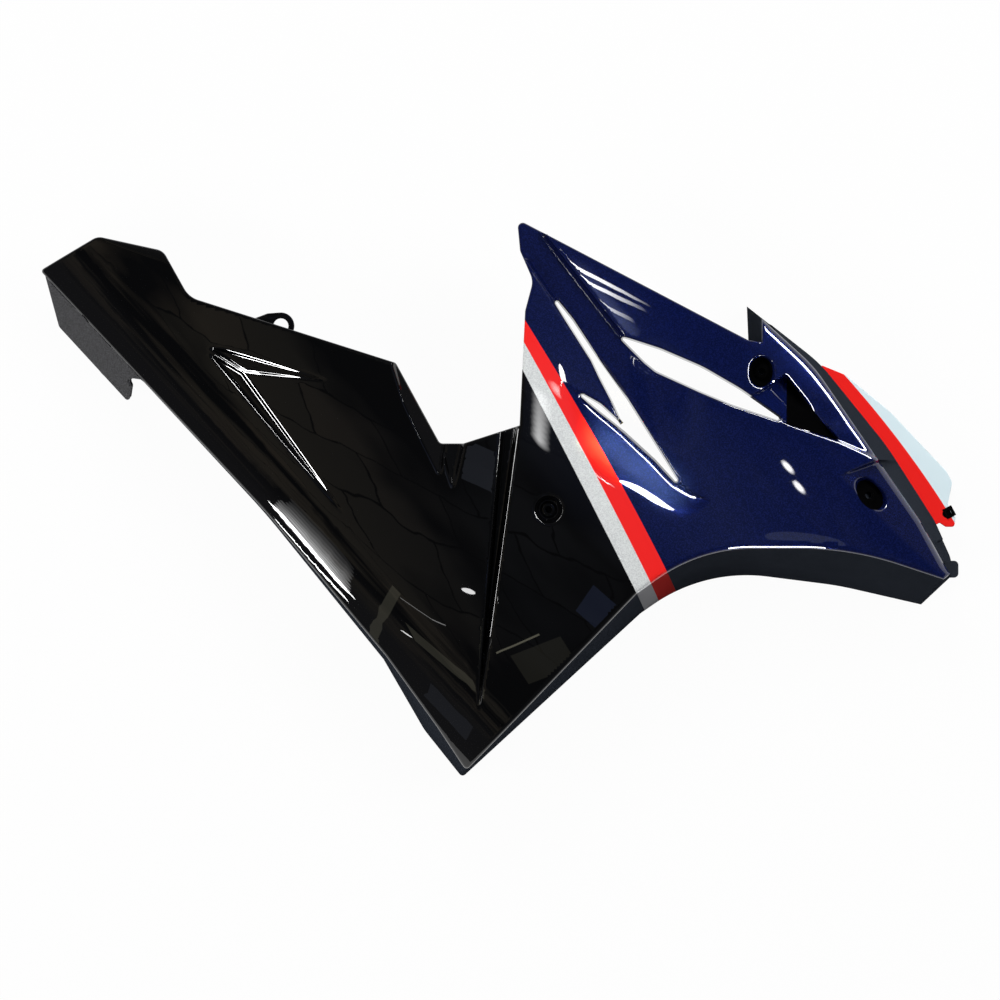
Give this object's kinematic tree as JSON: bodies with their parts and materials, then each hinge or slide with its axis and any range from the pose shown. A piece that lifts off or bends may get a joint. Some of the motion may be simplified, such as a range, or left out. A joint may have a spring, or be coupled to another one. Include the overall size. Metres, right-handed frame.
{
  "type": "motorcycle side fairing panel",
  "caption": "Right-hand side fairing panel of a sport motorcycle, a deep moulded shell with gill slits, bolt recesses, a wheel-arch flange and a clip-on nose panel under its front edge.",
  "frame": {"origin": "centre of the main bolt's seat ring, in the round recess near the middle of the painted face", "axes": "+X along the panel towards the front wheel, +Y towards the top edge, +Z out of the painted face"},
  "size_m": [0.9193, 0.5545, 0.137],
  "materials": {
    "panel_paint": "gloss",
    "nose_paint": "gloss",
    "screw_steel": "satin",
    "clip_steel": "satin"
  },
  "bodies": {
    "root": {"main_panel": "panel_paint", "nose_panel": "nose_paint", "nose_panel_screws": "screw_steel", "clip_nut": "clip_steel"}
  },
  "joints": []
}
